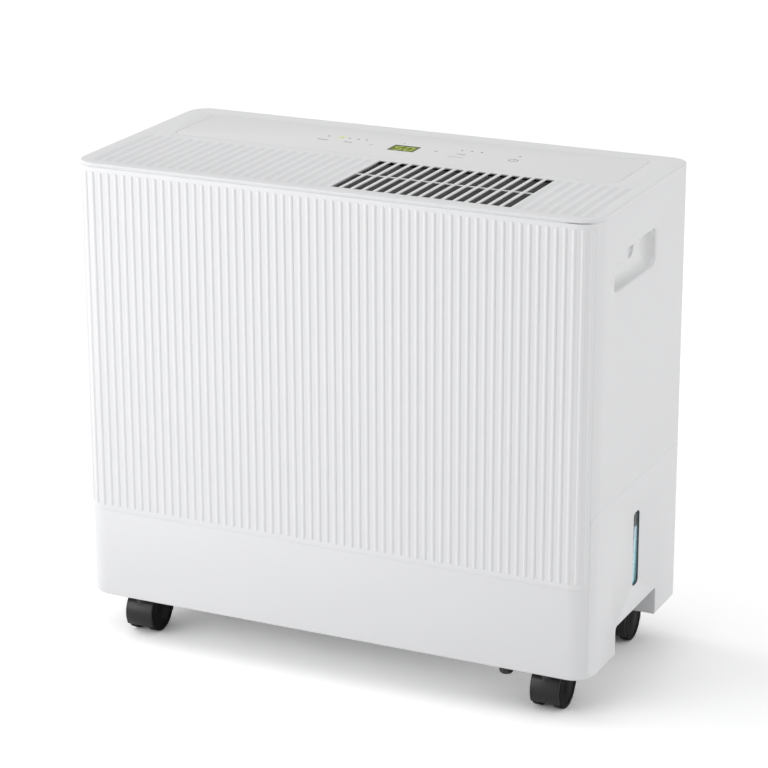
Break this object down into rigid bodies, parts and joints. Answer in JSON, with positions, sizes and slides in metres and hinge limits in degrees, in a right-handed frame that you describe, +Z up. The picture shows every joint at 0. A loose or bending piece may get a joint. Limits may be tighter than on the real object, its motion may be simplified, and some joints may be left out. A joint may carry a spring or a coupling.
{
  "type": "dehumidifier",
  "caption": "White free-standing dehumidifier with a beaded front, grooved lid with outlet slots, side tank with sight window, and black swivel casters.",
  "frame": {"origin": "on the floor, under the middle of the body", "axes": "+X to the right seen from the front (tank side), +Y to the back, +Z up"},
  "size_m": [0.5, 0.234, 0.455],
  "materials": {
    "white_shell": "white satin moulded plastic",
    "white_inlay": "white printed control film",
    "handle_white": "white satin moulded plastic",
    "display_glass": "black display window",
    "sight_glass": "clear tinted lens",
    "tank_plastic": "translucent plastic",
    "float_foam": "white foam float",
    "base_plastic": "off-white moulded plastic",
    "black_plastic": "black moulded plastic",
    "filter_cloth": "fine nylon mesh",
    "soft_rubber": "soft black rubber",
    "circuit_board": "green circuit board",
    "compressor_paint": "black painted steel",
    "fin_aluminium": "bare aluminium",
    "copper": "bare copper tube",
    "steel": "zinc-plated steel",
    "caster_nylon": "black nylon"
  },
  "bodies": {
    "housing": {"accumulator": "compressor_paint", "base_pan": "base_plastic", "capacitor_strap": "steel", "compressor": "compressor_paint", "compressor_grommets": "soft_rubber", "condenser_bends": "copper", "condenser_fins": "fin_aluminium", "control_board": "circuit_board", "control_box": "black_plastic", "control_cover": "steel", "control_inlay": "white_inlay", "discharge_pipe": "copper", "display_board": "circuit_board", "display_window": "display_glass", "drain_nipple": "black_plastic", "drip_deck": "base_plastic", "evaporator_bends": "copper", "evaporator_fins": "fin_aluminium", "fan_inlet": "base_plastic", "fan_motor": "compressor_paint", "fan_scroll": "black_plastic", "front_cover": "white_shell", "left_handle_cup": "handle_white", "left_side_panel": "white_shell", "level_switch": "black_plastic", "liquid_line": "copper", "outlet_guard": "black_plastic", "partition": "base_plastic", "plinth_cover": "white_shell", "power_inlet": "black_plastic", "rear_cover": "white_shell", "rear_screws": "steel", "right_handle_cup": "handle_white", "right_side_panel": "white_shell", "run_capacitor": "fin_aluminium", "suction_pipe": "copper", "top_cover": "white_shell"},
    "tank": {"tank_body": "tank_plastic", "tank_front": "white_shell", "tank_window": "sight_glass", "tank_lid": "tank_plastic"},
    "float": {"tank_float": "float_foam"},
    "cassette": {"intake_grille": "white_shell", "filter_frame": "black_plastic", "filter_mesh": "filter_cloth"},
    "fan": {"fan_wheel": "black_plastic", "fan_shaft": "steel"},
    "cap": {"drain_cap": "soft_rubber"},
    "caster_front_left": {"caster_hood_front_left": "caster_nylon"},
    "wheels_front_left": {"caster_wheels_front_left": "caster_nylon", "caster_axle_front_left": "steel"},
    "caster_front_right": {"caster_hood_front_right": "caster_nylon"},
    "wheels_front_right": {"caster_wheels_front_right": "caster_nylon", "caster_axle_front_right": "steel"},
    "caster_rear_left": {"caster_hood_rear_left": "caster_nylon"},
    "wheels_rear_left": {"caster_wheels_rear_left": "caster_nylon", "caster_axle_rear_left": "steel"},
    "caster_rear_right": {"caster_hood_rear_right": "caster_nylon"},
    "wheels_rear_right": {"caster_wheels_rear_right": "caster_nylon", "caster_axle_rear_right": "steel"}
  },
  "joints": [
    {"name": "tank_slide", "type": "slide", "parent": "housing", "child": "tank", "axis": [1, 0, 0], "range_m": [0, 0.29]},
    {"name": "float_pivot", "type": "hinge", "parent": "tank", "child": "float", "pos_m": [-0.0268, 0, 0.1525], "axis": [0, -1, 0], "range_deg": [0, 18]},
    {"name": "cassette_pull", "type": "slide", "parent": "housing", "child": "cassette", "axis": [0, 1, 0], "range_m": [0, 0.06]},
    {"name": "fan_spin", "type": "hinge", "parent": "housing", "child": "fan", "pos_m": [0.08475, -0.05, 0.2844], "axis": [0, 1, 0], "continuous": true},
    {"name": "cap_pull", "type": "slide", "parent": "housing", "child": "cap", "axis": [0, 0, -1], "range_m": [0, 0.015]},
    {"name": "swivel_front_left", "type": "hinge", "parent": "housing", "child": "caster_front_left", "pos_m": [-0.204, -0.096, 0.05], "axis": [0, 0, 1], "continuous": true},
    {"name": "roll_front_left", "type": "hinge", "parent": "caster_front_left", "child": "wheels_front_left", "pos_m": [-0.204, -0.082, 0.02], "axis": [1, 0, 0], "continuous": true},
    {"name": "swivel_front_right", "type": "hinge", "parent": "housing", "child": "caster_front_right", "pos_m": [0.204, -0.096, 0.05], "axis": [0, 0, 1], "continuous": true},
    {"name": "roll_front_right", "type": "hinge", "parent": "caster_front_right", "child": "wheels_front_right", "pos_m": [0.204, -0.082, 0.02], "axis": [1, 0, 0], "continuous": true},
    {"name": "swivel_rear_left", "type": "hinge", "parent": "housing", "child": "caster_rear_left", "pos_m": [-0.204, 0.068, 0.05], "axis": [0, 0, 1], "continuous": true},
    {"name": "roll_rear_left", "type": "hinge", "parent": "caster_rear_left", "child": "wheels_rear_left", "pos_m": [-0.204, 0.082, 0.02], "axis": [1, 0, 0], "continuous": true},
    {"name": "swivel_rear_right", "type": "hinge", "parent": "housing", "child": "caster_rear_right", "pos_m": [0.204, 0.068, 0.05], "axis": [0, 0, 1], "continuous": true},
    {"name": "roll_rear_right", "type": "hinge", "parent": "caster_rear_right", "child": "wheels_rear_right", "pos_m": [0.204, 0.082, 0.02], "axis": [1, 0, 0], "continuous": true}
  ]
}
